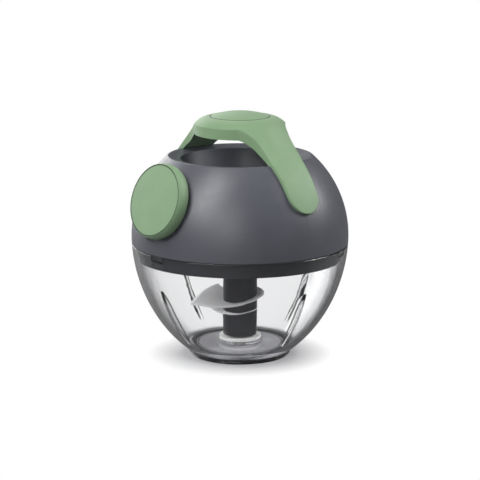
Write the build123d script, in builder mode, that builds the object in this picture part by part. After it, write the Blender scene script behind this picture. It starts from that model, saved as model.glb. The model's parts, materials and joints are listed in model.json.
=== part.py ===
from build123d import *
from math import acos, atan2, cos, hypot, radians, sin, sqrt, tan
import os

# A mini garlic chopper worked by a pull cord: a clear bowl and a dark lid that together make a ball.
# Pulling the knob unwinds a cord from a sprung reel in the lid, and the reel turns the blade column.
# Millimetres, +Z up, the origin at the centre of the foot's face. The knob points to -Y, and the
# handle spans the lid from -X to +X.

# Shares and counts used all over
half_share = 0.5
overrun = 1.0

# Clearances
running_gap = 0.08
press_gap = 0.02
seat_gap = 0.1
fit_gap = 0.15
slip_gap = 0.3
thrust_gap = 0.4

# The ball that the lid and the bowl make
ball_r = 48.0
ball_centre_z = 53.8
ball_top_z = ball_centre_z + ball_r
seam_drop = 3.2
seam_gap = 0.3
seam_z = ball_centre_z - seam_drop

# Bowl: under the ball's middle its side is a superellipse, fuller than a circle
bowl_wall = 2.2
inner_ball_r = ball_r - bowl_wall
bowl_extra_depth = 5.575
bowl_curve_depth = ball_centre_z + bowl_extra_depth
bowl_fullness_share = 1.895
foot_band_top_z = 2.3
foot_edge_z = 0.8
foot_corner_r = 0.6
underside_z = 2.6
floor_thickness = 3.4
floor_z = underside_z + floor_thickness
floor_corner_r = 3.0
column_r = 7.5
washer_margin = 1.8
washer_r = column_r + washer_margin
boss_edge_r = 0.4
boss_r = washer_r + boss_edge_r
boss_height = 1.4
boss_z = floor_z + boss_height
rim_edge_r = 0.5
side_steps = 6

# Ribs inside the bowl
rib_count = 4
rib_top_z = 35.0
rib_bottom_z = 9.5
rib_depth = 2.0
rib_width = 1.5
rib_fullness_share = 3
rib_first_angle = 0.0

# Keys inside the rim that stop the lid from turning
key_count = 3
key_width = 7.5
key_drop = 0.4
key_top_z = seam_z - key_drop
key_height = 2.9
key_depth = 1.1
key_first_angle = -90.0

# Foot
foot_margin = 1.2
ring_width = 4.7
disc_edge_r = 0.3

# Spindle pin and its washer
pin_r = 2.5
pin_floor = 1.2
pin_bottom_z = underside_z + pin_floor
pin_height = 8.6
pin_top_z = boss_z + pin_height
pin_tip_r = 1.2
washer_thickness = 1.2

# Lid cover with the skirt that goes down inside the bowl's rim
cover_drop = 6.4
cover_z = seam_z - cover_drop
cover_plate = 2.0
skirt_wall = 1.6
skirt_rise = 2.0
skirt_gap = 0.35
skirt_edge_r = 0.5
collar_wall = 1.6
collar_height = 6.0
collar_top_z = cover_z + collar_height

# Blade column
column_bottom_z = boss_z + washer_thickness + thrust_gap
column_edge_r = 0.6
column_groove_height = 1.3
column_groove_z = column_bottom_z + column_groove_height
column_groove_width = 0.5
column_groove_depth = 0.35
reel_lift = 0.8
reel_bottom_z = cover_z + reel_lift
column_top_z = reel_bottom_z - thrust_gap
pin_room = 0.6
rod_r = 2.2
rod_web = 1.2
rod_bottom_z = pin_top_z + pin_room + rod_web
rod_cover = 8.4
rod_top_z = column_top_z - rod_cover
hex_across = 8.6
hex_height = 8.0
hex_chamfer = 0.7

# Blades: tilt is how steeply a blade climbs, ascent is the way it climbs, turn is how it stands at rest
blade_thickness = 0.8
blade_bevel = 0.5
blade_ground_share = 0.93
lower_blade_reach = 20.5
lower_blade_height = 11.7
lower_blade_z = column_bottom_z + lower_blade_height
lower_blade_tilt = 6.0
lower_blade_ascent = 90.0
lower_blade_turn = 8.0
lower_heel_share = 0.72
upper_blade_reach = 23.0
upper_blade_height = 17.4
upper_blade_z = column_bottom_z + upper_blade_height
upper_blade_tilt = 14.5
upper_blade_ascent = 98.9
upper_blade_turn = 50.3
upper_heel_share = 1.0

# Outline of a blade in shares of its reach: cutting edge, heel, the hollow behind the hub, outer edge
cutting_edge_shares = [(-1.0, 0.0), (-0.66, -0.235), (-0.33, -0.385), (0.05, -0.4), (0.35, -0.225)]
heel_shares = [(0.35, -0.225), (0.47, 0.02), (0.37, 0.28), (0.07, 0.43), (-0.24, 0.42)]
hollow_shares = [(-0.24, 0.42), (-0.36, 0.54), (-0.45, 0.75)]
outer_edge_shares = [(-0.45, 0.75), (-0.68, 0.62), (-0.87, 0.31), (-1.0, 0.0)]

# Recoil spring: a flat strip wound in half circles
post_r = 4.4
spring_turns = 7
spring_bore_gap = 0.4
spring_bore_r = post_r + spring_bore_gap
spring_strip = 0.35
spring_room = 0.35
spring_height = 6.4
spring_tang = 1.5
tang_room = 0.5

# Reel
drum_r = 15.0
flange_overhang = 3.0
flange_r = drum_r + flange_overhang
flange = 1.2
groove_height = 9.8
cup_wall = 1.8
cup_r = drum_r - cup_wall
hub_margin = 1.9
hub_r = column_r + hub_margin
hub_hole_r = hub_r + slip_gap
socket_gap = 0.2
socket_depth = hex_height + thrust_gap
socket_web = 2.4
axle_pocket_z = reel_bottom_z + socket_depth + socket_web
axle_pocket_depth = 5.0
reel_floor_z = axle_pocket_z + axle_pocket_depth
reel_floor = 1.6
core_top_z = reel_floor_z - reel_floor
spring_lift = 0.6
spring_bottom_z = reel_floor_z + spring_lift
spring_headroom = 1.0
reel_top_z = spring_bottom_z + spring_height + spring_headroom
upper_flange_z = reel_top_z - flange
lower_flange_z = upper_flange_z - groove_height - flange
spring_pitch = (cup_r - spring_room - spring_strip - spring_bore_r) / spring_turns
reel_cap_thickness = 0.9
reel_cap_r = drum_r
reel_cap_bore_gap = 0.6
reel_cap_bore_r = post_r + reel_cap_bore_gap

# Axle post, pressed up into the floor of the finger dish
post_flange_r = 6.5
post_flange = 1.0
post_shoulder_z = reel_floor_z + thrust_gap
axle_r = 2.0
axle_bottom_z = axle_pocket_z + thrust_gap
spigot_r = 3.0
spigot_height = 1.0
post_slot_width = 2 * (spring_strip + seat_gap)
post_slot_r = spring_bore_r - spring_tang - tang_room

# Lid shell: the ball ends at a crest, and a lip slopes in from it to the finger dish
lid_wall = 2.2
lid_edge_z = seam_z + seam_gap
crest_r = 31.8
crest_round = 1.3
lip_r = 26.1
lip_drop = 1.5
lip_round = 0.35
lip_under_drop = 1.8
hollow_crest_inset = 0.6
hollow_round = 0.8
dish_floor_r = 22.6
dish_corner_r = 6.0
dish_under_z = reel_top_z + reel_cap_thickness + slip_gap + post_flange
dish_floor_z = dish_under_z + lid_wall

# Gasket between the cover, the shell and the bowl's rim
gasket_step = 1.3
gasket_step_z = lid_edge_z + gasket_step
gasket_wall = 1.0
gasket_step_r = ball_r - gasket_wall
gasket_bottom_z = seam_z + seat_gap
gasket_top_z = gasket_step_z - seat_gap

# Cover screws
cover_screw_count = 3
cover_screw_inset = 11.5
cover_screw_circle_r = ball_r - cover_screw_inset
cover_screw_first_angle = 90.0
screw_head_r = 2.6
screw_head_height = 1.5
screw_r = 1.3
screw_length = 12.0
screw_sink = 0.7
screw_slot_width = 0.7
screw_slot_depth = 0.7
cover_boss_wall = 1.6
cover_boss_r = screw_head_r + cover_boss_wall
shell_boss_wall = 2.1
shell_boss_r = screw_r + shell_boss_wall

# Handle, and where each leg flares into the pad in shares of the pad's radius
pad_r = 19.9
leg_flare_shares = [(0.7, 0.71), (0.965, 0.54), (1.25, 0.455)]
pad_sink = 1.3
pad_bottom_z = ball_top_z - pad_sink
pad_rim_height = 3.4
pad_rim_z = pad_bottom_z + pad_rim_height
pad_height = 6.4
pad_top_z = pad_bottom_z + pad_height
inlay_r = 13.05
inlay_gap = 0.12
inlay_depth = 1.7
inlay_seat_z = pad_top_z - inlay_depth
inlay_crown = 2.1
inlay_top_z = pad_top_z + inlay_crown
inlay_edge_r = 0.3
leg_thickness = 3.3
leg_proud = 1.4
leg_sunk = 0.8
leg_tip_half_width = 7.25
leg_tip_rise = 16.2
leg_tip_z = ball_centre_z + leg_tip_rise
leg_end_r = 7.9
leg_bend_r = 5.0
leg_edge_r = 0.5
stud_r = 2.4
stud_angle = 33.0
stud_reach = 4.8
stud_inner_r = ball_r - stud_reach
handle_screw_r = 0.93
stud_hole_r = handle_screw_r + press_gap
handle_screw_length = 4.4
handle_screw_head_r = 2.2
handle_screw_head_height = 1.3

# Pull cord's thickness
cord_r = 0.75

# Pull knob, measured along its own axis from where the axis crosses the middle of the ball
knob_rise = 5.9
knob_axis_z = ball_centre_z + knob_rise
knob_tilt = 18.0
knob_r = 16.55
knob_inset = 1.05
knob_cap_r = knob_r - knob_inset
seat_sink = 4.2
seat_t = ball_r - seat_sink
knob_stand = 0.8
knob_back_t = seat_t + knob_stand
knob_plate_sink = 0.7
knob_plate_t = knob_back_t + knob_plate_sink
knob_plate = 1.6
knob_wall = 2.0
knob_height = 5.5
knob_front_t = knob_back_t + knob_height
knob_bulge = 0.7
knob_edge_r = 0.25
knob_ledge = 1.6
knob_ledge_r = knob_cap_r - knob_ledge
knob_cap_sink = 1.0
knob_cap_t = knob_front_t - knob_cap_sink
knob_face_rise = 0.3
knob_face_t = knob_front_t + knob_face_rise
knob_face_crown = 0.35
knob_hole_room = 0.25
knob_hole_r = cord_r + knob_hole_room
knot_r = 2.2
knot_height = 2.1
knot_round = 0.9

# Flat seat under the knob, with its eyelet
seat_margin = 1.1
seat_r = knob_r + seat_margin
seat_pad_margin = 1.9
seat_pad_r = seat_r + seat_pad_margin
seat_pad = 2.4
seat_pad_t = seat_t - seat_pad
eyelet_room = 0.95
eyelet_bore_r = cord_r + eyelet_room
eyelet_wall = 1.3
eyelet_r = eyelet_bore_r + eyelet_wall
eyelet_flange_overhang = 1.6
eyelet_flange_r = eyelet_r + eyelet_flange_overhang
eyelet_flange = 0.6
eyelet_mouth_r = 0.5

# Way of the cord
cord_loops = 4
cord_loop_pitch = 2.0
wound_height = (cord_loops - 1) * cord_loop_pitch
cord_exit_z = lower_flange_z + flange + fit_gap + cord_r + wound_height
cord_bend_inset = 1.9
cord_bend_t = seat_pad_t - cord_bend_inset
cord_end_t = knob_plate_t + knob_plate
cord_bend_share = 0.45


def bowl_side(radius, depth, z):
    """Radius of the bowl's side at height z, for the outer or the inner face."""
    drop = max(ball_centre_z - z, 0)
    return radius * (1 - (drop / depth) ** bowl_fullness_share) ** (1 / bowl_fullness_share)


def outer_side(z):
    return bowl_side(ball_r, bowl_curve_depth, z)


def inner_side(z):
    return bowl_side(inner_ball_r, bowl_curve_depth - bowl_wall, z)


def side_points(side, inset, z_from, z_to):
    """Points down or up a side, drawn in by an inset."""
    rise = (z_to - z_from) / side_steps
    heights = [z_from + rise * step for step in range(side_steps + 1)]
    return [(side(z) - inset, z) for z in heights]


def rib_points():
    """Points down a rib's edge, which runs out into the wall at both ends."""
    points = []
    for step in range(side_steps + 1):
        along = step / side_steps
        depth = rib_depth * (1 - abs(2 * along - 1) ** rib_fullness_share)
        z = rib_top_z + (rib_bottom_z - rib_top_z) * along
        points.append((inner_side(z) - depth, z))
    return points


def ball_arc_z(radius, r):
    """Height of a ball's upper surface over a point r from the middle."""
    return ball_centre_z + sqrt(radius**2 - r**2)


def upright_plane(angle):
    """The plane through the object's middle with its x axis pointing out at this angle."""
    a = radians(angle)
    return Plane(origin=(0, 0, 0), x_dir=(cos(a), sin(a), 0), z_dir=(sin(a), -cos(a), 0))


def tilted_plane(height, tilt, ascent, turn):
    """A plane that climbs towards ascent, with its x axis at turn when seen from above."""
    climb = Vector(-sin(radians(tilt)) * cos(radians(ascent)), -sin(radians(tilt)) * sin(radians(ascent)),
                   cos(radians(tilt)))
    ahead = Vector(cos(radians(turn)), sin(radians(turn)), 0)
    along = ahead - climb * ahead.dot(climb)
    return Plane(origin=(0, 0, height), x_dir=along, z_dir=climb)


def on_plane(plane, distance):
    """The same plane moved along its own normal."""
    return Plane(origin=plane.origin + plane.z_dir * distance, x_dir=plane.x_dir, z_dir=plane.z_dir)


def corner(sketch, x, y):
    """The corner of a sketch nearest to a place."""
    return sketch.vertices().sort_by_distance((x, y))[0]


knob_way = Vector(0, -cos(radians(knob_tilt)), sin(radians(knob_tilt)))
knob_up = Vector(0, sin(radians(knob_tilt)), cos(radians(knob_tilt)))
knob_origin = Vector(0, 0, knob_axis_z)
knob_axis = Axis(knob_origin, knob_way)
knob_section = Plane(origin=knob_origin, x_dir=knob_way, z_dir=knob_up)


def knob_plane(t):
    """The plane across the knob's axis at a distance t along it."""
    return Plane(origin=knob_origin + knob_way * t, x_dir=(1, 0, 0), z_dir=knob_way)


# Bowl
foot_r = outer_side(foot_band_top_z)
ring_r = foot_r - foot_margin
ring_bore_r = ring_r - ring_width
floor_r = inner_side(floor_z)

with BuildPart() as bowl:
    with BuildSketch(Plane.XZ) as bowl_section:
        with BuildLine():
            bowl_outside = Spline(*side_points(outer_side, 0, seam_z, foot_band_top_z))
            Polyline(
                bowl_outside @ 1,
                (foot_r, foot_edge_z),
                (ring_r + seat_gap, foot_edge_z),
                (ring_r + seat_gap, underside_z),
                (0, underside_z),
                (0, boss_z),
                (boss_r, boss_z),
                (boss_r, floor_z),
                (floor_r, floor_z),
            )
            bowl_inside = Spline(*side_points(inner_side, 0, floor_z, seam_z))
            Line(bowl_inside @ 1, bowl_outside @ 0)
        make_face()
        fillet(corner(bowl_section, floor_r, floor_z), floor_corner_r)
        fillet(corner(bowl_section, boss_r, boss_z), boss_edge_r)
        fillet(corner(bowl_section, foot_r, foot_edge_z), foot_corner_r)
        fillet(corner(bowl_section, outer_side(seam_z), seam_z), rim_edge_r)
        fillet(corner(bowl_section, inner_side(seam_z), seam_z), rim_edge_r)
    revolve(axis=Axis.Z)
    with BuildSketch(Plane.XY.offset(pin_bottom_z)):
        Circle(pin_r + press_gap)
    extrude(amount=boss_z - pin_bottom_z + overrun, mode=Mode.SUBTRACT)
    for number in range(rib_count):
        with BuildSketch(upright_plane(rib_first_angle + number * 360 / rib_count)):
            with BuildLine():
                rib_root = Spline(*side_points(inner_side, -bowl_wall * half_share, rib_bottom_z, rib_top_z))
                rib_face = Spline(*rib_points())
                Line(rib_root @ 1, rib_face @ 0)
                Line(rib_face @ 1, rib_root @ 0)
            make_face()
        extrude(amount=rib_width * half_share, both=True)
    for number in range(key_count):
        with BuildSketch(upright_plane(key_first_angle + number * 360 / key_count)):
            key_r = inner_side(key_top_z)
            with BuildLine():
                Polyline(
                    (key_r + bowl_wall * half_share, key_top_z),
                    (key_r - key_depth, key_top_z),
                    (key_r - key_depth, key_top_z - key_height + key_depth),
                    (key_r, key_top_z - key_height),
                    (key_r + bowl_wall * half_share, key_top_z - key_height),
                    close=True,
                )
            make_face()
        extrude(amount=key_width * half_share, both=True)
bowl.part.label = "bowl"

with BuildPart() as base_disc:
    with BuildSketch():
        Circle(ring_bore_r - seat_gap)
    extrude(amount=underside_z)
    fillet(base_disc.edges().group_by(Axis.Z)[0], disc_edge_r)
base_disc.part.label = "base_disc"

with BuildPart() as anti_slip_ring:
    with BuildSketch():
        Circle(ring_r)
        Circle(ring_bore_r, mode=Mode.SUBTRACT)
    extrude(amount=underside_z)
    fillet(anti_slip_ring.edges().group_by(Axis.Z)[0], disc_edge_r)
anti_slip_ring.part.label = "anti_slip_ring"

with BuildPart() as spindle_pin:
    with BuildSketch(Plane.XY.offset(pin_bottom_z)):
        Circle(pin_r)
    extrude(amount=pin_top_z - pin_bottom_z)
    fillet(spindle_pin.edges().group_by(Axis.Z)[-1], pin_tip_r)
spindle_pin.part.label = "spindle_pin"

with BuildPart() as pin_washer:
    with BuildSketch(Plane.XY.offset(boss_z)):
        Circle(washer_r)
        Circle(pin_r + running_gap, mode=Mode.SUBTRACT)
    extrude(amount=washer_thickness)
pin_washer.part.label = "pin_washer"


# Blade column and blades
upper_plane = tilted_plane(upper_blade_z, upper_blade_tilt, upper_blade_ascent, upper_blade_turn)
lower_plane = tilted_plane(lower_blade_z, lower_blade_tilt, lower_blade_ascent, lower_blade_turn)
upper_back = on_plane(upper_plane, -blade_thickness)
lower_back = on_plane(lower_plane, -blade_thickness)


def column_blank(z_from, z_to):
    """The column's round stock between two heights."""
    with BuildSketch(Plane.XY.offset(z_from)) as disc:
        Circle(column_r)
    extrude(disc.sketch, amount=z_to - z_from)


def rod_hole(z_from, z_to):
    with BuildSketch(Plane.XY.offset(z_from)) as disc:
        Circle(rod_r + press_gap)
    extrude(disc.sketch, amount=z_to - z_from, mode=Mode.SUBTRACT)


def blade_outline(reach, heel_share):
    """Outline of one blade, with its point towards -x and its heel towards +x."""
    with BuildLine() as outline:
        for shares in (cutting_edge_shares, heel_shares, hollow_shares, outer_edge_shares):
            Spline(*[(min(x, 0) * reach + max(x, 0) * heel_share * reach, y * reach) for x, y in shares])
    make_face(outline.edges())


def blade_blank(back_plane, reach, heel_share):
    """A blade's plate: straight sides below and a ground bevel above."""
    with BuildSketch(back_plane) as plate:
        blade_outline(reach, heel_share)
    extrude(plate.sketch, amount=blade_thickness - blade_bevel)
    with BuildSketch(on_plane(back_plane, blade_thickness - blade_bevel)) as full:
        blade_outline(reach, heel_share)
    with BuildSketch(on_plane(back_plane, blade_thickness)) as ground:
        blade_outline(reach * blade_ground_share, heel_share)
    loft([full.sketch, ground.sketch], ruled=True)


with BuildPart() as column_base:
    column_blank(column_bottom_z, upper_blade_z)
    fillet(column_base.edges().group_by(Axis.Z)[0], column_edge_r)
    with BuildSketch(Plane.XY.offset(column_groove_z)):
        Circle(column_r + overrun)
        Circle(column_r - column_groove_depth, mode=Mode.SUBTRACT)
    extrude(amount=column_groove_width, mode=Mode.SUBTRACT)
    with BuildSketch(Plane.XY.offset(column_bottom_z)):
        Circle(pin_r + running_gap)
    extrude(amount=pin_top_z + pin_room - column_bottom_z, mode=Mode.SUBTRACT)
    rod_hole(rod_bottom_z, upper_blade_z)
    split(bisect_by=lower_back, keep=Keep.BOTTOM)
column_base.part.label = "column_base"

with BuildPart() as lower_blade:
    blade_blank(lower_back, lower_blade_reach, lower_heel_share)
    rod_hole(column_bottom_z, column_top_z)
lower_blade.part.label = "lower_blade"

with BuildPart() as column_spacer:
    column_blank(column_bottom_z, column_top_z)
    rod_hole(column_bottom_z, column_top_z)
    split(bisect_by=lower_plane, keep=Keep.TOP)
    split(bisect_by=upper_back, keep=Keep.BOTTOM)
column_spacer.part.label = "column_spacer"

with BuildPart() as upper_blade:
    blade_blank(upper_back, upper_blade_reach, upper_heel_share)
    rod_hole(column_bottom_z, column_top_z)
upper_blade.part.label = "upper_blade"

with BuildPart() as column_top:
    column_blank(column_bottom_z, column_top_z)
    fillet(column_top.edges().group_by(Axis.Z)[-1], column_edge_r)
    split(bisect_by=upper_plane, keep=Keep.TOP)
    rod_hole(column_bottom_z, rod_top_z)
    with BuildSketch(Plane.XY.offset(column_top_z)):
        RegularPolygon(hex_across * half_share, side_count=6, major_radius=False)
    extrude(amount=hex_height)
    chamfer(column_top.edges().group_by(Axis.Z)[-1], hex_chamfer)
column_top.part.label = "column_top"

with BuildPart() as column_rod:
    with BuildSketch(Plane.XY.offset(rod_bottom_z)):
        Circle(rod_r)
    extrude(amount=rod_top_z - rod_bottom_z)
column_rod.part.label = "column_rod"


# Lid shell
lid_edge_r = sqrt(ball_r**2 - (ball_centre_z - lid_edge_z) ** 2)
inner_lid_r = ball_r - lid_wall
inner_edge_r = sqrt(inner_lid_r**2 - (ball_centre_z - lid_edge_z) ** 2)
skirt_top_r = inner_edge_r - skirt_gap
skirt_top_z = lid_edge_z + skirt_rise
crest = (crest_r, ball_arc_z(ball_r, crest_r))
lip_z = crest[1] - lip_drop
hollow_crest_r = crest_r - hollow_crest_inset
hollow_crest = (hollow_crest_r, ball_arc_z(inner_lid_r, hollow_crest_r))
lip_under = (lip_r + lid_wall, lip_z - lip_under_drop)
dish_under = (dish_floor_r + lid_wall, dish_under_z)

# Section of the lid as if it were solid, with the finger dish in its top
with BuildSketch(Plane.XZ) as dome_envelope:
    with BuildLine():
        Polyline((lid_edge_r, lid_edge_z), (0, lid_edge_z), (0, dish_floor_z), (dish_floor_r, dish_floor_z),
                 (lip_r, lip_z), crest)
        RadiusArc(crest, (lid_edge_r, lid_edge_z), ball_r)
    make_face()
    fillet(corner(dome_envelope, *crest), crest_round)
    fillet(corner(dome_envelope, lip_r, lip_z), lip_round)
    fillet(corner(dome_envelope, dish_floor_r, dish_floor_z), dish_corner_r)

# Section of the room inside the lid, one wall away from it
with BuildSketch(Plane.XZ) as dome_hollow:
    with BuildLine():
        Polyline((inner_edge_r, lid_edge_z - overrun), (0, lid_edge_z - overrun), (0, dish_under_z),
                 dish_under, lip_under, hollow_crest)
        RadiusArc(hollow_crest, (inner_edge_r, lid_edge_z), inner_lid_r)
        Line((inner_edge_r, lid_edge_z), (inner_edge_r, lid_edge_z - overrun))
    make_face()
    fillet(corner(dome_hollow, *hollow_crest), hollow_round)
    fillet(corner(dome_hollow, *lip_under), hollow_round)
    fillet(corner(dome_hollow, *dish_under), dish_corner_r)


# The handle's side: a crown, a straight slope that runs on from it, and an arc just proud of the ball
leg_outer_r = ball_r + leg_proud
rim_rise = pad_rim_z - ball_centre_z
leg_slope = atan2(rim_rise, pad_r) - acos(leg_outer_r / hypot(pad_r, rim_rise))
leg_bend = (leg_outer_r * cos(leg_slope), ball_centre_z + leg_outer_r * sin(leg_slope))
inlay_pocket_r = inlay_r + inlay_gap


def handle_turned(grow):
    """The handle before its outline is cut, turned about Z; grow makes room under it."""
    inner_r = ball_r - leg_sunk - grow
    inner_angle = leg_slope + acos((leg_outer_r - leg_thickness - grow) / inner_r)
    inner_bend = (inner_r * cos(inner_angle), ball_centre_z + inner_r * sin(inner_angle))
    under = (inner_bend[0] - (pad_bottom_z - inner_bend[1]) * tan(leg_slope), pad_bottom_z)
    low_z = leg_tip_z - overrun
    outer_tip = (sqrt(leg_outer_r**2 - (low_z - ball_centre_z) ** 2), low_z)
    inner_tip = (sqrt(inner_r**2 - (low_z - ball_centre_z) ** 2), low_z)
    with BuildSketch(Plane.XZ) as section:
        with BuildLine() as outline:
            Polyline((0, pad_bottom_z), (0, inlay_seat_z), (inlay_pocket_r, inlay_seat_z),
                     (inlay_pocket_r, pad_top_z))
            TangentArc((pad_r, pad_rim_z), (inlay_pocket_r, pad_top_z),
                       tangent=(-sin(leg_slope), cos(leg_slope)))
            Line((pad_r, pad_rim_z), leg_bend)
            RadiusArc(leg_bend, outer_tip, leg_outer_r)
            Line(outer_tip, inner_tip)
            RadiusArc(inner_tip, inner_bend, -inner_r)
            Polyline(inner_bend, under, (0, pad_bottom_z))
        make_face(outline.edges())
        fillet(corner(section, *under), leg_bend_r)
        fillet(corner(section, inlay_pocket_r, pad_top_z), inlay_edge_r)
    revolve(section.sketch, axis=Axis.Z)


def leg_plan(grow):
    """Both legs from above: each is narrower towards its tip."""
    reach = leg_outer_r + overrun
    flare = [(x * pad_r, y * pad_r + grow) for x, y in leg_flare_shares]
    flare_start, flare_end = Vector(*flare[0]), Vector(*flare[-1])
    tip_corner = Vector(reach, leg_tip_half_width + grow)
    with BuildLine() as plan:
        Spline(*flare, tangents=[(flare_start.Y, -flare_start.X), tip_corner - flare_end])
        Line(flare_end, tip_corner)
        Line((reach, leg_tip_half_width + grow), (reach, 0))
        mirror(about=Plane.XZ)
        mirror(about=Plane.YZ)
        root_x, root_y = flare[0]
        Line((root_x, root_y), (-root_x, root_y))
        Line((root_x, -root_y), (-root_x, -root_y))
    make_face(plan.edges())


def leg_end(grow):
    """Both legs from the side: each ends in a round."""
    middle_z = leg_tip_z + leg_end_r
    with Locations((0, (pad_top_z + middle_z) * half_share)):
        Rectangle(pad_r + pad_r, pad_top_z - middle_z)
    with Locations((0, middle_z)):
        Circle(leg_end_r + grow)


def handle_blank(grow):
    """The pad and both legs in one piece, or, grown by a clearance, the pockets that the legs lie in."""
    handle_turned(grow)
    with BuildSketch(Plane.XY.offset(ball_centre_z)) as plan:
        Circle(pad_r)
        leg_plan(grow)
    extrude(plan.sketch, amount=pad_top_z - ball_centre_z, mode=Mode.INTERSECT)
    with BuildSketch(Plane.YZ) as end:
        leg_end(grow)
    extrude(end.sketch, amount=leg_outer_r, both=True, mode=Mode.INTERSECT)


def on_handle_outline(edge):
    """Whether an edge runs round the handle's outline on its outer side."""
    places = [edge @ 0, edge @ half_share, edge @ 1]
    radii = [hypot(place.X, place.Y) for place in places]
    for place, r in zip(places, radii):
        rise = place.Z - ball_centre_z
        reach = r * cos(leg_slope) + rise * sin(leg_slope) if place.Z > leg_bend[1] else hypot(r, rise)
        if abs(reach - leg_outer_r) > press_gap:
            return False
    crosses_leg = max(radii) - min(radii) < press_gap and abs(places[1].X) > abs(places[1].Y)
    return not crosses_leg


def stud_plane(side, r):
    """The plane across a leg's stud at a distance r from the ball's middle."""
    a = radians(stud_angle)
    way = Vector(side * cos(a), 0, sin(a))
    return Plane(origin=Vector(0, 0, ball_centre_z) + way * r, x_dir=(0, 1, 0), z_dir=way)


both_sides = (-1, 1)
screw_seat_z = cover_z + screw_sink + screw_head_height

with BuildPart() as leg_pockets:
    handle_blank(seat_gap)

with BuildPart() as dome_skin:
    revolve(dome_envelope.sketch, axis=Axis.Z)
    revolve(dome_hollow.sketch, axis=Axis.Z, mode=Mode.SUBTRACT)

with BuildPart() as dome_shell:
    with BuildSketch(Plane.XY.offset(lid_edge_z)):
        with PolarLocations(cover_screw_circle_r, cover_screw_count, cover_screw_first_angle):
            Circle(shell_boss_r)
    extrude(amount=ball_r)
    with BuildSketch(knob_plane(seat_pad_t)):
        Circle(seat_pad_r)
    extrude(amount=ball_r - seat_pad_t)
    revolve(dome_envelope.sketch, axis=Axis.Z, mode=Mode.INTERSECT)
    add(dome_skin.part)
    with BuildSketch(Plane.XY.offset(lid_edge_z)):
        Circle(gasket_step_r)
        Circle(inner_lid_r - lid_wall, mode=Mode.SUBTRACT)
    extrude(amount=gasket_step_z - lid_edge_z, mode=Mode.SUBTRACT)
    with BuildSketch(Plane.XY.offset(lid_edge_z)):
        with PolarLocations(cover_screw_circle_r, cover_screw_count, cover_screw_first_angle):
            Circle(screw_r + press_gap)
    extrude(amount=screw_length, mode=Mode.SUBTRACT)
    with BuildSketch(knob_plane(seat_t)):
        Circle(seat_r)
    extrude(amount=ball_r - seat_t, mode=Mode.SUBTRACT)
    with BuildSketch(knob_plane(seat_pad_t - overrun)):
        Circle(eyelet_r + press_gap)
    extrude(amount=ball_r - seat_pad_t, mode=Mode.SUBTRACT)
    add(leg_pockets.part, mode=Mode.SUBTRACT)
    for side in both_sides:
        with BuildSketch(stud_plane(side, stud_inner_r)):
            Circle(stud_r + seat_gap)
        extrude(amount=ball_r - stud_inner_r, mode=Mode.SUBTRACT)
    with BuildSketch(Plane.XY.offset(dish_under_z)):
        Circle(spigot_r + press_gap)
    extrude(amount=spigot_height + seat_gap, mode=Mode.SUBTRACT)
dome_shell.part.label = "dome_shell"


# Handle
with BuildPart() as handle_bridge:
    handle_blank(0)
    fillet(handle_bridge.edges().filter_by(on_handle_outline), leg_edge_r)
    for side in both_sides:
        with BuildSketch(stud_plane(side, stud_inner_r)):
            Circle(stud_r)
        extrude(amount=ball_r - stud_inner_r)
        with BuildSketch(stud_plane(side, stud_inner_r)):
            Circle(stud_hole_r)
        extrude(amount=handle_screw_length, mode=Mode.SUBTRACT)
handle_bridge.part.label = "handle_bridge"

with BuildPart() as handle_inlay:
    with BuildSketch(Plane.XZ) as inlay_profile:
        with BuildLine():
            Polyline((0, inlay_top_z), (0, inlay_seat_z), (inlay_r, inlay_seat_z), (inlay_r, pad_top_z))
            TangentArc((0, inlay_top_z), (inlay_r, pad_top_z), tangent=(1, 0))
        make_face()
        fillet(corner(inlay_profile, inlay_r, pad_top_z), inlay_edge_r)
    revolve(axis=Axis.Z)
handle_inlay.part.label = "handle_inlay"

with BuildPart() as handle_screws:
    for side in both_sides:
        with BuildSketch(stud_plane(side, stud_inner_r)):
            Circle(handle_screw_r)
        extrude(amount=handle_screw_length)
        with BuildSketch(stud_plane(side, stud_inner_r)):
            Circle(handle_screw_head_r)
        extrude(amount=-handle_screw_head_height)
handle_screws.part.label = "handle_screws"


# Lid cover, its skirt and its screws
with BuildPart() as lid_cover:
    with BuildSketch(Plane.XZ) as cover_section:
        with BuildLine():
            skirt_side = Spline(*side_points(inner_side, skirt_gap, cover_z, seam_z))
            Polyline(
                skirt_side @ 1,
                (skirt_top_r, lid_edge_z),
                (skirt_top_r, skirt_top_z),
                (skirt_top_r - skirt_wall, skirt_top_z),
                (skirt_top_r - skirt_wall, cover_z + cover_plate),
                (hub_hole_r + collar_wall, cover_z + cover_plate),
                (hub_hole_r + collar_wall, collar_top_z),
                (hub_hole_r, collar_top_z),
                (hub_hole_r, cover_z),
                skirt_side @ 0,
            )
        make_face()
        fillet(corner(cover_section, *tuple(skirt_side @ 0)[:2]), skirt_edge_r)
    revolve(axis=Axis.Z)
    with BuildSketch(Plane.XY.offset(cover_z)):
        with PolarLocations(cover_screw_circle_r, cover_screw_count, cover_screw_first_angle):
            Circle(cover_boss_r)
    extrude(amount=lid_edge_z - cover_z)
    with BuildSketch(Plane.XY.offset(cover_z)):
        with PolarLocations(cover_screw_circle_r, cover_screw_count, cover_screw_first_angle):
            Circle(screw_r + seat_gap)
    extrude(amount=lid_edge_z - cover_z, mode=Mode.SUBTRACT)
    with BuildSketch(Plane.XY.offset(cover_z)):
        with PolarLocations(cover_screw_circle_r, cover_screw_count, cover_screw_first_angle):
            Circle(screw_head_r + fit_gap)
    extrude(amount=screw_sink + screw_head_height, mode=Mode.SUBTRACT)
    for number in range(key_count):
        with BuildSketch(upright_plane(key_first_angle + number * 360 / key_count)):
            notch_r = inner_side(key_top_z) - key_depth - slip_gap
            with Locations(((notch_r + ball_r) * half_share, (cover_z + seam_z) * half_share)):
                Rectangle(ball_r - notch_r, seam_z - cover_z + press_gap)
        extrude(amount=key_width * half_share + slip_gap, both=True, mode=Mode.SUBTRACT)
lid_cover.part.label = "lid_cover"

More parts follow.
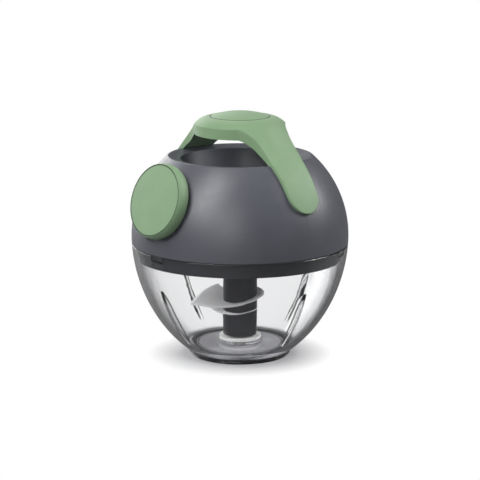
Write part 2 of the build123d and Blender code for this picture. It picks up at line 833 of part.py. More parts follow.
with BuildPart() as cover_screws:
    with BuildSketch(Plane.XY.offset(screw_seat_z)):
        with PolarLocations(cover_screw_circle_r, cover_screw_count, cover_screw_first_angle):
            Circle(screw_r)
    extrude(amount=screw_length)
    with BuildSketch(Plane.XY.offset(screw_seat_z)):
        with PolarLocations(cover_screw_circle_r, cover_screw_count, cover_screw_first_angle):
            Circle(screw_head_r)
    extrude(amount=-screw_head_height)
    with BuildSketch(Plane.XY.offset(screw_seat_z - screw_head_height)):
        with PolarLocations(cover_screw_circle_r, cover_screw_count, cover_screw_first_angle):
            Rectangle(screw_head_r, screw_slot_width)
            Rectangle(screw_slot_width, screw_head_r)
    extrude(amount=screw_slot_depth, mode=Mode.SUBTRACT)
cover_screws.part.label = "cover_screws"

with BuildPart() as rim_gasket:
    with BuildSketch(Plane.XY.offset(gasket_bottom_z)):
        Circle(gasket_step_r - seat_gap)
        Circle(skirt_top_r + fit_gap, mode=Mode.SUBTRACT)
    extrude(amount=gasket_top_z - gasket_bottom_z)
rim_gasket.part.label = "rim_gasket"


# Pull knob, its cap and the knot, all turned about the knob's axis
with BuildPart() as knob_body:
    with BuildSketch(knob_section) as knob_profile:
        cap_pocket_r = knob_cap_r + press_gap
        knob_edge = knob_r - knob_bulge
        with BuildLine():
            Polyline(
                (knob_plate_t, knob_hole_r),
                (knob_plate_t, knob_r - knob_wall),
                (knob_back_t, knob_r - knob_wall),
                (knob_back_t, knob_edge),
            )
            ThreePointArc((knob_back_t, knob_edge), ((knob_back_t + knob_front_t) * half_share, knob_r),
                          (knob_front_t, knob_edge))
            Polyline(
                (knob_front_t, knob_edge),
                (knob_front_t, cap_pocket_r),
                (knob_cap_t, cap_pocket_r),
                (knob_cap_t, knob_ledge_r),
                (knob_plate_t + knob_plate, knob_ledge_r),
                (knob_plate_t + knob_plate, knob_hole_r),
                (knob_plate_t, knob_hole_r),
            )
        make_face()
        fillet(corner(knob_profile, knob_front_t, cap_pocket_r), knob_edge_r)
    revolve(axis=knob_axis)
knob_body.part.label = "knob_body"

with BuildPart() as knob_cap:
    with BuildSketch(knob_section) as cap_profile:
        with BuildLine():
            Polyline((knob_face_t, 0), (knob_cap_t, 0), (knob_cap_t, knob_cap_r),
                     (knob_face_t - knob_face_crown, knob_cap_r))
            TangentArc((knob_face_t, 0), (knob_face_t - knob_face_crown, knob_cap_r), tangent=(0, 1))
        make_face()
        fillet(corner(cap_profile, knob_face_t - knob_face_crown, knob_cap_r), knob_edge_r)
    revolve(axis=knob_axis)
knob_cap.part.label = "knob_cap"

with BuildPart() as cord_knot:
    with BuildSketch(knob_section) as knot_profile:
        with Locations((cord_end_t, 0)):
            Rectangle(knot_height, knot_r, align=(Align.MIN, Align.MIN))
        fillet(corner(knot_profile, cord_end_t, knot_r), knot_round)
        fillet(corner(knot_profile, cord_end_t + knot_height, knot_r), knot_round)
    revolve(axis=knob_axis)
cord_knot.part.label = "cord_knot"

with BuildPart() as cord_eyelet:
    with BuildSketch(knob_section) as eyelet_profile:
        with BuildLine():
            Polyline(
                (seat_pad_t, eyelet_bore_r),
                (seat_pad_t, eyelet_r),
                (seat_t, eyelet_r),
                (seat_t, eyelet_flange_r),
                (seat_t + eyelet_flange, eyelet_flange_r),
                (seat_t + eyelet_flange, eyelet_bore_r),
                close=True,
            )
        make_face()
        fillet(corner(eyelet_profile, seat_t + eyelet_flange, eyelet_bore_r), eyelet_mouth_r)
        fillet(corner(eyelet_profile, seat_pad_t, eyelet_bore_r), eyelet_mouth_r)
    revolve(axis=knob_axis)
cord_eyelet.part.label = "cord_eyelet"


# Reel, its cap and the cord wound on it
with BuildPart() as cord_reel:
    with BuildSketch(Plane.XZ):
        with BuildLine():
            Polyline(
                (0, reel_bottom_z),
                (hub_r, reel_bottom_z),
                (hub_r, core_top_z),
                (cup_r, core_top_z),
                (cup_r, lower_flange_z),
                (flange_r, lower_flange_z),
                (flange_r, lower_flange_z + flange),
                (drum_r, lower_flange_z + flange),
                (drum_r, upper_flange_z),
                (flange_r, upper_flange_z),
                (flange_r, reel_top_z),
                (cup_r, reel_top_z),
                (cup_r, reel_floor_z),
                (0, reel_floor_z),
                close=True,
            )
        make_face()
    revolve(axis=Axis.Z)
    with BuildSketch(Plane.XY.offset(reel_bottom_z)):
        RegularPolygon(hex_across * half_share + socket_gap, side_count=6, major_radius=False)
    extrude(amount=socket_depth, mode=Mode.SUBTRACT)
    with BuildSketch(Plane.XY.offset(axle_pocket_z)):
        Circle(axle_r + running_gap)
    extrude(amount=reel_floor_z - axle_pocket_z, mode=Mode.SUBTRACT)
cord_reel.part.label = "cord_reel"

with BuildPart() as reel_cap:
    with BuildSketch(Plane.XY.offset(reel_top_z)):
        Circle(reel_cap_r)
        Circle(reel_cap_bore_r, mode=Mode.SUBTRACT)
    extrude(amount=reel_cap_thickness)
reel_cap.part.label = "reel_cap"

with BuildPart() as cord_winding:
    loop_r = drum_r + cord_r + press_gap
    with BuildSketch(Plane.XZ):
        for loop in range(cord_loops):
            with Locations((loop_r, cord_exit_z - loop * cord_loop_pitch)):
                Circle(cord_r)
        with Locations((loop_r - cord_r * half_share, cord_exit_z - wound_height * half_share)):
            Rectangle(cord_r, wound_height + cord_r)
    revolve(axis=Axis.Z)
cord_winding.part.label = "cord_winding"


# Axle post and recoil spring
with BuildPart() as axle_post:
    with BuildSketch(Plane.XZ):
        with BuildLine():
            Polyline(
                (0, axle_bottom_z),
                (axle_r, axle_bottom_z),
                (axle_r, post_shoulder_z),
                (post_r, post_shoulder_z),
                (post_r, dish_under_z - post_flange),
                (post_flange_r, dish_under_z - post_flange),
                (post_flange_r, dish_under_z),
                (spigot_r, dish_under_z),
                (spigot_r, dish_under_z + spigot_height),
                (0, dish_under_z + spigot_height),
                close=True,
            )
        make_face()
    revolve(axis=Axis.Z)
    with BuildSketch(Plane.XY.offset(post_shoulder_z)):
        with Locations((post_slot_r + post_r * half_share, 0)):
            Rectangle(post_r, post_slot_width)
    extrude(amount=spring_bottom_z + spring_height + seat_gap - post_shoulder_z, mode=Mode.SUBTRACT)
axle_post.part.label = "axle_post"

with BuildPart() as recoil_spring:
    with BuildSketch(Plane.XY.offset(spring_bottom_z)):
        with BuildLine():
            for half_turn in range(2 * spring_turns):
                r = spring_bore_r + half_turn * spring_pitch * half_share
                odd = half_turn % 2
                centre = (odd * spring_pitch * half_share, 0)
                CenterArc(centre, r, odd * 180, 180)
                CenterArc(centre, r + spring_strip, odd * 180, 180)
            Line((spring_bore_r, 0), (spring_bore_r + spring_strip, 0))
            outer_end = spring_bore_r + spring_turns * spring_pitch
            Line((outer_end, 0), (outer_end + spring_strip, 0))
        make_face()
        with Locations((spring_bore_r + spring_strip, 0)):
            Rectangle(spring_tang + spring_strip, spring_strip, align=(Align.MAX, Align.MIN))
    extrude(amount=spring_height)
recoil_spring.part.label = "recoil_spring"


# Cord from the reel, through the eyelet, to the knot in the knob
bend_point = knob_origin + knob_way * cord_bend_t
tangent_angle = acos(loop_r / abs(bend_point.Y))
tangent_point = Vector(-loop_r * sin(tangent_angle), -loop_r * cos(tangent_angle), cord_exit_z)
clear_run = sqrt((loop_r + cord_r + cord_r + slip_gap) ** 2 - loop_r**2)
cord_start = tangent_point + (bend_point - tangent_point).normalized() * clear_run
cord_end = knob_origin + knob_way * cord_end_t
cord_turn = (bend_point - cord_start).get_angle(cord_end - bend_point)
cord_bend_r = cord_bend_share * (cord_end - bend_point).length / tan(radians(cord_turn * half_share))

with BuildPart() as pull_cord:
    with BuildLine() as cord_path:
        FilletPolyline(cord_start, bend_point, cord_end, radius=cord_bend_r)
    with BuildSketch(Plane(origin=cord_start, z_dir=bend_point - cord_start)):
        Circle(cord_r)
    sweep(path=cord_path.line)
pull_cord.part.label = "pull_cord"

pieces = [
    bowl, base_disc, anti_slip_ring, spindle_pin, pin_washer, column_base, lower_blade, column_spacer,
    upper_blade, column_top, column_rod, dome_shell, lid_cover, rim_gasket, cover_screws, handle_bridge,
    handle_inlay, handle_screws, cord_eyelet, axle_post, recoil_spring, cord_reel, reel_cap, cord_winding,
    pull_cord, knob_body, knob_cap, cord_knot,
]
os.makedirs("parts", exist_ok=True)
for piece in pieces:
    export_step(piece.part, f"parts/{piece.part.label}.step")
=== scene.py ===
"""A mini garlic chopper worked by a pull cord: clear bowl, dark lid, green handle and knob."""

import json
import math

import bmesh
import bpy
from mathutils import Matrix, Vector


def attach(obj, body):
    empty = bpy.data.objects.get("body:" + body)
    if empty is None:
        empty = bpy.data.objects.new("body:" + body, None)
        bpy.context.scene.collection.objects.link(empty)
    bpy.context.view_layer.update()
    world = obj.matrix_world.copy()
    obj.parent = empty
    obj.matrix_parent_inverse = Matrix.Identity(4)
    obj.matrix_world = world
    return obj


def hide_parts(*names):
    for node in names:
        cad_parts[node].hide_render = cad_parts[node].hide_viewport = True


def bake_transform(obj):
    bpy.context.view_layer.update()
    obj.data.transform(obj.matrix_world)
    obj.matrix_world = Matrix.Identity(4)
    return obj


MM = 0.001

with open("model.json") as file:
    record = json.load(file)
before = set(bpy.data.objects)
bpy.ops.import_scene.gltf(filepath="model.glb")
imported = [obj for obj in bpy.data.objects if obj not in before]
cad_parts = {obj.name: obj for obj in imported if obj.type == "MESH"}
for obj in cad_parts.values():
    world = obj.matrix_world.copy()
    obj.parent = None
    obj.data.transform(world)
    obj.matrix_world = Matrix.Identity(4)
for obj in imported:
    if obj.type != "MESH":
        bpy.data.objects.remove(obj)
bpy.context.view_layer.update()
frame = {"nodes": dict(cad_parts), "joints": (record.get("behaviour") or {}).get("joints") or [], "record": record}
nodes = frame["nodes"]
joints = {joint["name"]: joint for joint in frame["joints"]}

# The ball's middle, the upright axis, the line that the knob is pulled along and places along it
BALL_CENTRE = Vector((0, 0, 53.8 * MM))
UPRIGHT = (Vector((0, 0, 0)), Vector((0, 0, 1)))
KNOB_ORIGIN = Vector((0, 0, 59.7 * MM))
KNOB_WAY = Vector(joints["knob_pull"]["axis"]).normalized()
CORD_BEND_T = 39.5 * MM
CORD_END_T = 46.9 * MM

# What is nearer than this to a line lies on it
ON_LINE = 0.01 * MM

# The cord: its loops on the reel, its run to the knob and its knot
CORD_R = 0.75 * MM
CORD_EXIT_Z = 64.7 * MM
WINDING_R = 15.77 * MM
WINDING_HEIGHT = 6 * MM
WINDING_LOOPS = 4
STEPS_IN_LOOP = 48
HIDDEN_SIDES = 12
CLEAR_OF_WINDING = 7.75 * MM
BEND_R = 8 * MM
KNOT_STRAND_R = 0.6 * MM
KNOT_R = 0.75 * MM
KNOT_SWING = 0.3 * MM
KNOT_RISE = 0.34 * MM
KNOT_LIFT = 1.05 * MM
KNOT_STEPS = 72

# How uneven the surfaces are: the size of the places and how far colour, roughness or height go
MOTTLING = 9 * MM
MOTTLING_SHADES = (0.96, 1.04)
GLOSS_PATCHES = 4 * MM
GLOSS_SWING = 0.03
BRUSH_LINES = 0.25 * MM
BRUSH_SHADES = (0.93, 1.05)
BRUSH_SMOOTHER, BRUSH_ROUGHER = 0.05, 0.07
BRUSH_DEPTH = 0.004 * MM
BRUSH_STRENGTH = 0.6
CLEAR_WAVES = 14 * MM
CLEAR_WAVE_DEPTH = 0.02 * MM
CLEAR_WAVE_STRENGTH = 0.3

# The fine joints round the knob's cap and the handle's inlay, and how their dark lines of painted shade fade out
KNOB_GROOVE = (KNOB_ORIGIN, KNOB_WAY, 15.5 * MM)
INLAY_GROOVE = (*UPRIGHT, 13.1 * MM)
GROOVE_FADE = (0.12 * MM, 0.42 * MM)
GROOVE_PAINTED_SHADE = 0.2

# The foot's grey middle, and the fine dark line just inside its edge; the thin grey strip left between this line
# and the black rubber is a painted glint
FOOT_MIDDLE_R = 19.6 * MM
FOOT_GROOVE = (*UPRIGHT, 18.8 * MM)
MIDDLE_BLUR = 0.1 * MM

# The clear bowl: where its colour greys with painted shade as it turns edge on and round its sharp edges
CLEAR_IOR = 1.5
CLEAR_TINT = (0.975, 0.977, 0.982, 1)
CLEAR_PAINTED_EDGE_SHADE = (0.1, 0.101, 0.105, 1)
CLEAR_SHADOW_TINT = (0.975, 0.975, 0.98, 1)
CLEAR_TURNED = (0.45, 0.88)
CLEAR_EDGE_R = 0.9 * MM
CLEAR_EDGE_DOTS = (0.93, 0.995)

# Camera, as fitted to the photograph
CAMERA_AZIMUTH = 50.3
CAMERA_ELEVATION = 11.78
CAMERA_DISTANCE = 0.989
CAMERA_LENS = 167.5
CAMERA_SENSOR = 36
CAMERA_SHIFT_Y = -0.0112
CAMERA_CLIP = (0.05, 20)

# Soft boxes: name, azimuth from the camera's, elevation, width, height and power
LAMP_DISTANCE = 0.9
LAMPS = (
    ("front_box", -15, 22, 0.4, 0.5, 1.6),
    ("left_box", -47, 46, 0.3, 0.8, 5.6),
    ("side_box", -142, 16, 1.0, 0.6, 5.5),
    ("right_box", 98, 33, 0.3, 0.5, 4.8),
    ("top_box", 0, 85, 0.4, 0.4, 0.3),
)

# Light from the world, and how much of the white backdrop shows in gloss
WORLD_LIGHT = 0.11
WORLD_COLOUR = (0.95, 0.97, 1.0, 1)
GLOSS_SHARE = 0.05

# The floor: grey near the object, a painted shadow under the real one out to near, fading to plain white beyond
# far
FLOOR_R = 6
FLOOR_SIDES = 96
FLOOR_PAINTED_SHADOW_GREY = (0.5, 0.5, 0.51, 1)
FLOOR_NEAR = 24 * MM
FLOOR_FAR = 41 * MM
FLOOR_GRAIN = 2 * MM
FLOOR_GRAIN_SHADE = 0.995
FLOOR_BOUNCE_SHADE = 0.35


def from_screen(red, green, blue):
    """A colour as a screen shows it, each part 0 to 255, in the linear values that shaders take."""
    parts = [part / 255 for part in (red, green, blue)]
    linear = [p / 12.92 if p <= 0.04045 else ((p + 0.055) / 1.055) ** 2.4 for p in parts]
    return (*linear, 1)


def shade(colour, share):
    """A colour made lighter or darker by a share."""
    return (*[part * share for part in colour[:3]], 1)


def feed(tree, socket, value):
    """Gives a socket a value of its own, or joins it to another node's output."""
    if isinstance(value, bpy.types.NodeSocket):
        tree.links.new(value, socket)
    else:
        socket.default_value = value


def maths(tree, operation, *values):
    """One arithmetic step; each value is a number or another node's output."""
    node = tree.nodes.new("ShaderNodeMath")
    node.operation = operation
    for socket, value in zip(node.inputs, values):
        feed(tree, socket, value)
    return node.outputs[0]


def mix_shaders(tree, share, first, second):
    """The first shader, replaced by the second as the share goes from 0 to 1."""
    node = tree.nodes.new("ShaderNodeMixShader")
    for socket, value in zip(node.inputs, (share, first.outputs[0], second.outputs[0])):
        tree.links.new(value, socket)
    return node.outputs[0]


def sees_backdrop(tree):
    """1 for the camera's rays, straight or through glass, little for gloss, 0 for other light."""
    rays = tree.nodes.new("ShaderNodeLightPath").outputs
    unreflected = maths(tree, "LESS_THAN", rays["Glossy Depth"], 0.5)
    share = maths(tree, "MAXIMUM", unreflected, GLOSS_SHARE)
    kinds = maths(tree, "MAXIMUM", rays["Is Glossy Ray"], rays["Is Transmission Ray"])
    direct = maths(tree, "LESS_THAN", rays["Diffuse Depth"], 0.5)
    seen = maths(tree, "MULTIPLY", maths(tree, "MULTIPLY", kinds, direct), share)
    return maths(tree, "MAXIMUM", rays["Is Camera Ray"], seen)


class Surface:
    """A material with short ways to add the nodes that it is made of."""

    SOCKETS = {"ior": "IOR", "specular": "Specular IOR Level", "sheen": "Sheen Weight",
               "transmission": "Transmission Weight"}

    def __init__(self, name):
        self.material = bpy.data.materials.new(name)
        self.material.use_nodes = True
        self.tree = self.material.node_tree
        self.tree.nodes.clear()
        self.output = self.tree.nodes.new("ShaderNodeOutputMaterial")
        self.shader = self.add("ShaderNodeBsdfPrincipled")
        self.link(self.shader.outputs[0], self.output.inputs["Surface"])

    def add(self, kind, **settings):
        node = self.tree.nodes.new(kind)
        for key, value in settings.items():
            setattr(node, key, value)
        return node

    def link(self, source, target):
        self.tree.links.new(source, target)

    def set(self, **values):
        """Feeds the shader's own sockets: base_color=..., roughness=..."""
        for key, value in values.items():
            socket = self.shader.inputs[self.SOCKETS.get(key, key.replace("_", " ").title())]
            feed(self.tree, socket, value)

    def places(self, stretch=(1, 1, 1)):
        """The surface's own places in metres, stretched."""
        where = self.add("ShaderNodeTexCoord")
        mapping = self.add("ShaderNodeMapping")
        mapping.inputs["Scale"].default_value = stretch
        self.link(where.outputs["Object"], mapping.inputs["Vector"])
        return mapping.outputs["Vector"]

    def noise(self, size, detail, places=None, rough=0.5):
        """Noise whose blotches are about this size."""
        node = self.add("ShaderNodeTexNoise")
        node.inputs["Scale"].default_value = 1 / size
        node.inputs["Detail"].default_value = detail
        node.inputs["Roughness"].default_value = rough
        self.link(places or self.places(), node.inputs["Vector"])
        return node.outputs["Fac"]

    def spread(self, source, low, high, from_low=0.3, from_high=0.7):
        """The source's values between from_low and from_high, spread between low and high."""
        node = self.add("ShaderNodeMapRange")
        node.inputs["From Min"].default_value = from_low
        node.inputs["From Max"].default_value = from_high
        node.inputs["To Min"].default_value = low
        node.inputs["To Max"].default_value = high
        self.link(source, node.inputs["Value"])
        return node.outputs["Result"]

    def blend(self, share, first, second):
        """The first colour, replaced by the second as the share goes from 0 to 1."""
        node = self.add("ShaderNodeMix", data_type="RGBA")
        feed(self.tree, node.inputs["Factor"], share)
        feed(self.tree, node.inputs["A"], first)
        feed(self.tree, node.inputs["B"], second)
        return node.outputs["Result"]

    def vectors(self, operation, first, second=None, output="Vector"):
        """One step of vector arithmetic."""
        node = self.add("ShaderNodeVectorMath", operation=operation)
        feed(self.tree, node.inputs[0], first)
        if second is not None:
            feed(self.tree, node.inputs[1], second)
        return node.outputs[output]

    def from_line(self, origin, way):
        """How far each place is from a straight line."""
        apart = self.vectors("SUBTRACT", self.places(), origin)
        return self.vectors("LENGTH", self.vectors("CROSS_PRODUCT", apart, way), output="Value")

    def sharp_edges(self):
        """0 on the clear bowl's smooth faces, 1 on edges that a small rounding would change; it places the bowl's
        painted edge shade.
        """
        rounding = self.add("ShaderNodeBevel", samples=6)
        rounding.inputs["Radius"].default_value = CLEAR_EDGE_R
        face = self.add("ShaderNodeNewGeometry")
        normals = rounding.outputs["Normal"], face.outputs["Normal"]
        return self.spread(self.vectors("DOT_PRODUCT", *normals, "Value"), 1, 0, *CLEAR_EDGE_DOTS)

    def bump(self, height, depth, strength=1.0):
        node = self.add("ShaderNodeBump")
        node.inputs["Distance"].default_value = depth
        node.inputs["Strength"].default_value = strength
        self.link(height, node.inputs["Height"])
        return node.outputs["Normal"]


def moulded_plastic(name, colour, roughness, grain, grain_depth, specular=0.5, sheen=0.0,
                    grooves=(), middle=None):
    """Moulded plastic or rubber: fine grain, faint mottling, an uneven gloss and grooves darkened with painted
    shade.

    Each groove is a line's origin and way and the groove's distance from it. middle is a colour
    and the distance from the upright axis that it reaches.
    """
    surface = Surface(name)
    mottling = surface.spread(surface.noise(MOTTLING, detail=3), 0, 1)
    colours = surface.blend(mottling, *[shade(colour, share) for share in MOTTLING_SHADES])
    if middle is not None:
        middle_colour, reach = middle
        out = surface.from_line(*UPRIGHT)
        outside = surface.spread(out, 0, 1, reach - MIDDLE_BLUR, reach + MIDDLE_BLUR)
        colours = surface.blend(outside, middle_colour, colours)
    # Painted shade: each groove is drawn as a darker copy of the colour, fading out to each side
    for origin, way, radius in grooves:
        past = maths(surface.tree, "SUBTRACT", surface.from_line(origin, way), radius)
        off = surface.spread(maths(surface.tree, "ABSOLUTE", past), 0, 1, *GROOVE_FADE)
        colours = surface.blend(off, shade(colour, GROOVE_PAINTED_SHADE), colours)
    patches = surface.noise(GLOSS_PATCHES, detail=4)
    gloss = surface.spread(patches, roughness - GLOSS_SWING, roughness + GLOSS_SWING)
    fine = surface.bump(surface.noise(grain, detail=3, rough=0.6), grain_depth)
    surface.set(base_color=colours, roughness=gloss, normal=fine, specular=specular, sheen=sheen)
    return surface.material


def clear_plastic(name):
    """Clear plastic whose colour greys with painted shade as it turns edge on and at its edges. Lamps shine
    through it.
    """
    surface = Surface(name)
    # Painted shade: the colour greys where the surface turns edge on and along its sharp edges
    facing = surface.add("ShaderNodeLayerWeight")
    facing.inputs["Blend"].default_value = 0.5
    turned = surface.spread(facing.outputs["Facing"], 0, 1, *CLEAR_TURNED)
    edge = maths(surface.tree, "MAXIMUM", turned, surface.sharp_edges())
    waves = surface.noise(CLEAR_WAVES, detail=1)
    uneven = surface.bump(waves, CLEAR_WAVE_DEPTH, CLEAR_WAVE_STRENGTH)
    surface.set(base_color=surface.blend(edge, CLEAR_TINT, CLEAR_PAINTED_EDGE_SHADE), roughness=0.0,
                ior=CLEAR_IOR, transmission=1.0, normal=uneven)
    rays = surface.add("ShaderNodeLightPath")
    through = surface.add("ShaderNodeBsdfTransparent")
    through.inputs["Color"].default_value = CLEAR_SHADOW_TINT
    mixed = mix_shaders(surface.tree, rays.outputs["Is Shadow Ray"], surface.shader, through)
    surface.link(mixed, surface.output.inputs["Surface"])
    return surface.material


def brushed_steel(name, colour, roughness, stretch, metallic):
    """Steel with fine brush lines along one way."""
    surface = Surface(name)
    lines = surface.noise(BRUSH_LINES, detail=4, places=surface.places(stretch), rough=0.7)
    shades = [shade(colour, share) for share in BRUSH_SHADES]
    colours = surface.blend(surface.spread(lines, 0, 1), *shades)
    gloss = surface.spread(lines, roughness - BRUSH_SMOOTHER, roughness + BRUSH_ROUGHER)
    brushed = surface.bump(lines, BRUSH_DEPTH, BRUSH_STRENGTH)
    surface.set(base_color=colours, roughness=gloss, normal=brushed, metallic=metallic,
                anisotropic=0.4)
    return surface.material


def backdrop(name):
    """A matte floor, grey near the object as painted shadow under its real shadow, and plain white further out."""
    surface = Surface(name)
    grain = surface.spread(surface.noise(FLOOR_GRAIN, detail=3), 0, 1)
    colours = surface.blend(grain, shade(FLOOR_PAINTED_SHADOW_GREY, FLOOR_GRAIN_SHADE), FLOOR_PAINTED_SHADOW_GREY)
    rays = surface.add("ShaderNodeLightPath").outputs
    bounce = maths(surface.tree, "MAXIMUM", rays["Is Diffuse Ray"], rays["Is Glossy Ray"])
    surface.set(base_color=surface.blend(bounce, colours, shade(FLOOR_PAINTED_SHADOW_GREY, FLOOR_BOUNCE_SHADE)),
                roughness=0.6, specular=0.2)
    # Painted shadow: the floor's grey shows near the middle and fades to white with distance from it
    out = surface.vectors("LENGTH", surface.places(), output="Value")
    far = surface.spread(out, 0, 1, FLOOR_NEAR, FLOOR_FAR)
    white = maths(surface.tree, "MULTIPLY", sees_backdrop(surface.tree), far)
    glow = surface.add("ShaderNodeEmission")
    glow.inputs["Strength"].default_value = 1
    mixed = mix_shaders(surface.tree, white, surface.shader, glow)
    surface.link(mixed, surface.output.inputs["Surface"])
    return surface.material


LID_GREY = from_screen(89, 91, 99)
DARK_GREY = from_screen(44, 45, 50)
GREEN = from_screen(134, 166, 126)
INLAY_GREEN = from_screen(135, 167, 128)
DISC_GREY = from_screen(244, 244, 246)
RUBBER = from_screen(9, 9, 10)
STEEL = from_screen(205, 205, 203)
BLADE = from_screen(252, 252, 252)
SPRING = from_screen(150, 152, 158)
WHITE = from_screen(246, 246, 243)
CORD = from_screen(200, 200, 196)
SILICONE = from_screen(92, 93, 96)

# Colour, roughness, the grain's size and its depth
plastics = {
    "lid_plastic": (LID_GREY, 0.4, 0.35 * MM, 0.02 * MM),
    "dark_plastic": (DARK_GREY, 0.36, 0.3 * MM, 0.01 * MM),
    "green_plastic": (GREEN, 0.55, 0.3 * MM, 0.02 * MM),
    "green_inlay": (INLAY_GREEN, 0.5, 0.3 * MM, 0.015 * MM),
    "base_grey": (DISC_GREY, 0.55, 0.4 * MM, 0.015 * MM),
    "foot_rubber": (RUBBER, 0.7, 0.3 * MM, 0.03 * MM),
    "white_plastic": (WHITE, 0.4, 0.3 * MM, 0.01 * MM),
    "silicone": (SILICONE, 0.45, 0.3 * MM, 0.01 * MM),
    "cord": (CORD, 0.8, 0.2 * MM, 0.05 * MM),
}
# The green parts' sheen, and painted shade along the joints round the knob's cap and the inlay
green_sheen_and_painted_grooves = {"sheen": 0.15, "grooves": (KNOB_GROOVE, INLAY_GROOVE)}
finishes_and_painted_light = {
    "lid_plastic": {"specular": 0.75},
    "dark_plastic": {"specular": 0.2},
    "green_plastic": green_sheen_and_painted_grooves,
    "green_inlay": green_sheen_and_painted_grooves,
    "base_grey": {"specular": 0.3},
    # The foot's grey middle and dark line leave a thin grey strip, a painted glint
    "foot_rubber": {"specular": 0.15, "grooves": (FOOT_GROOVE,),
                    "middle": (DISC_GREY, FOOT_MIDDLE_R)},
}
materials = {name: moulded_plastic(name, *values, **finishes_and_painted_light.get(name, {}))
             for name, values in plastics.items()}
materials["clear_bowl"] = clear_plastic("clear_bowl")

# Colour, roughness, how the brush lines are stretched and how far the steel is metallic
steels = {
    "steel": (STEEL, 0.28, (1, 1, 6), 1.0),
    "blade_steel": (BLADE, 0.42, (0.06, 1, 1), 0.1),
    "spring_steel": (SPRING, 0.3, (1, 1, 6), 1.0),
}
materials.update({name: brushed_steel(name, *values) for name, values in steels.items()})


def paint_nodes():
    """Gives each node its material."""
    slots = {part["node"]: part["material_slot"] for part in frame["record"]["subparts"]}
    for name, node in nodes.items():
        node.data.materials.clear()
        node.data.materials.append(materials[slots[name]])


def mend_pole(node, origin, way):
    """Where a round face closes on its axis, the shading follows the face itself."""
    mesh = node.data
    normals = [corner.vector.copy() for corner in mesh.corner_normals]
    for face in mesh.polygons:
        for corner, vertex in zip(face.loop_indices, face.vertices):
            place = node.matrix_world @ mesh.vertices[vertex].co
            if (place - origin).cross(way).length < ON_LINE:
                normals[corner] = face.normal
    mesh.normals_split_custom_set(normals)


def add_to_scene(name, data):
    """A new object in the scene."""
    thing = bpy.data.objects.new(name, data)
    bpy.context.scene.collection.objects.link(thing)
    return thing


def mesh_from(builder, name):
    mesh = bpy.data.meshes.new(name)
    builder.to_mesh(mesh)
    builder.free()
    return mesh


def make_floor():
    """A wide pale floor, further than the camera sees."""
    builder = bmesh.new()
    bmesh.ops.create_circle(builder, cap_ends=True, segments=FLOOR_SIDES, radius=FLOOR_R)
    mesh = mesh_from(builder, "floor")
    mesh.materials.append(backdrop("floor_white"))
    add_to_scene("floor", mesh)


def aim_at_ball(thing, azimuth, elevation, distance):
    """Puts something round the ball, at angles in degrees, facing the ball's middle."""
    a, e = math.radians(azimuth), math.radians(elevation)
    way = Vector((math.sin(a) * math.cos(e), -math.cos(a) * math.cos(e), math.sin(e)))
    thing.location = BALL_CENTRE + way * distance
    thing.rotation_euler = (BALL_CENTRE - thing.location).to_track_quat("-Z", "Y").to_euler()


def soft_box(name, turn, elevation, width, height, power):
    """A soft rectangular light, turned this far round from the camera."""
    light = bpy.data.lights.new(name, "AREA")
    light.shape = "RECTANGLE"
    light.size = width
    light.size_y = height
    light.energy = power
    aim_at_ball(add_to_scene(name, light), CAMERA_AZIMUTH + turn, elevation, LAMP_DISTANCE)


def make_world():
    """Even studio light, with white where the camera, metal or glass look past the floor."""
    world = bpy.data.worlds.new("studio")
    bpy.context.scene.world = world
    world.use_nodes = True
    tree = world.node_tree
    tree.nodes.clear()
    output = tree.nodes.new("ShaderNodeOutputWorld")
    light = tree.nodes.new("ShaderNodeBackground")
    light.inputs["Color"].default_value = WORLD_COLOUR
    light.inputs["Strength"].default_value = WORLD_LIGHT
    white = tree.nodes.new("ShaderNodeBackground")
    white.inputs["Color"].default_value = (1, 1, 1, 1)
    white.inputs["Strength"].default_value = 1
    tree.links.new(mix_shaders(tree, sees_backdrop(tree), light, white), output.inputs["Surface"])


def make_camera():
    data = bpy.data.cameras.new("camera")
    data.lens = CAMERA_LENS
    data.sensor_width = CAMERA_SENSOR
    data.shift_y = CAMERA_SHIFT_Y
    data.clip_start, data.clip_end = CAMERA_CLIP
    camera = add_to_scene("camera", data)
    aim_at_ball(camera, CAMERA_AZIMUTH, CAMERA_ELEVATION, CAMERA_DISTANCE)
    bpy.context.scene.camera = camera


def tube(name, points, radius, sides=16):
    """A round tube of cord along a line of points, closed at both ends."""
    ways = [(after - before).normalized() for before, after in
            zip([points[0], *points[:-1]], [*points[1:], points[-1]])]
    turns = [2 * math.pi * side / sides for side in range(sides)]
    across = ways[0].orthogonal().normalized()
    builder = bmesh.new()
    rings = []
    for point, way in zip(points, ways):
        across = (across - way * across.dot(way)).normalized()
        other = way.cross(across)
        spokes = [across * math.cos(t) + other * math.sin(t) for t in turns]
        rings.append([builder.verts.new(point + spoke * radius) for spoke in spokes])
    for ring, following in zip(rings, rings[1:]):
        for side in range(sides):
            after = (side + 1) % sides
            builder.faces.new((ring[side], ring[after], following[after], following[side]))
    builder.faces.new(reversed(rings[0]))
    builder.faces.new(rings[-1])
    bmesh.ops.recalc_face_normals(builder, faces=builder.faces)
    mesh = mesh_from(builder, name)
    mesh.shade_smooth()
    mesh.materials.append(materials["cord"])
    piece = add_to_scene(name, mesh)
    return piece


def rounded_corner(before, corner, after, radius, steps=8):
    """Points along two straight runs with the corner between them rounded."""
    back, ahead = (before - corner).normalized(), (after - corner).normalized()
    cut = radius / math.tan(back.angle(ahead) / 2)
    start, end = corner + back * cut, corner + ahead * cut
    shares = [step / steps for step in range(steps + 1)]
    curve = [start * (1 - t) ** 2 + corner * 2 * t * (1 - t) + end * t**2 for t in shares]
    return [before, *curve, after]


def along_knob(t):
    return KNOB_ORIGIN + KNOB_WAY * t


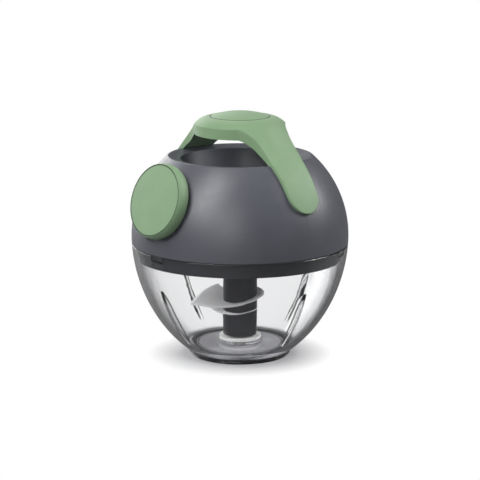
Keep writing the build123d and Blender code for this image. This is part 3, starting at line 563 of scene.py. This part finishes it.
def make_winding(leaving):
    """The cord's loops on the reel, up to the place where it leaves them."""
    last_turn = math.atan2(leaving.y, leaving.x)
    steps = STEPS_IN_LOOP * WINDING_LOOPS
    spiral = []
    for step in range(steps + 1):
        left = 1 - step / steps
        a = last_turn - 2 * math.pi * WINDING_LOOPS * left
        spiral.append(Vector((WINDING_R * math.cos(a), WINDING_R * math.sin(a),
                              CORD_EXIT_Z - WINDING_HEIGHT * left)))
    winding = tube("cord_turns", spiral, CORD_R, HIDDEN_SIDES)
    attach(winding, "reel")
    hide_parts("cord_winding")


def make_run(leaving, bend, end):
    """The cord from the reel through the eyelet to the knob."""
    start = leaving + (bend - leaving).normalized() * CLEAR_OF_WINDING
    run = tube("cord_run", rounded_corner(start, bend, end, BEND_R), CORD_R)
    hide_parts("pull_cord")
    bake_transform(run)


def make_knot(end):
    """The overhand knot that holds the cord in the knob."""
    side = KNOB_WAY.orthogonal().normalized()
    up = KNOB_WAY.cross(side)
    centre = end + KNOB_WAY * KNOT_LIFT
    strand = []
    for step in range(KNOT_STEPS + 1):
        a = 2 * math.pi * step / KNOT_STEPS
        out = KNOT_R + KNOT_SWING * math.cos(3 * a)
        rise = KNOB_WAY * KNOT_RISE * math.sin(3 * a)
        strand.append(centre + (side * math.cos(2 * a) + up * math.sin(2 * a)) * out + rise)
    tied = tube("cord_tie", strand, KNOT_STRAND_R, HIDDEN_SIDES)
    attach(tied, "knob")
    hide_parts("cord_knot")


def make_cord():
    """The cord: its winding on the reel, its run out to the knob and the knot that holds it."""
    bend = along_knob(CORD_BEND_T)
    lean = math.acos(WINDING_R / -bend.y)
    leaving = Vector((-WINDING_R * math.sin(lean), -WINDING_R * math.cos(lean), CORD_EXIT_Z))
    end = along_knob(CORD_END_T)
    make_winding(leaving)
    make_run(leaving, bend, end)
    make_knot(end)


paint_nodes()
mend_pole(nodes["knob_cap"], KNOB_ORIGIN, KNOB_WAY)
make_floor()
make_world()
make_camera()
make_cord()
for lamp in LAMPS:
    soft_box(*lamp)

bpy.context.scene.view_settings.view_transform = "Standard"
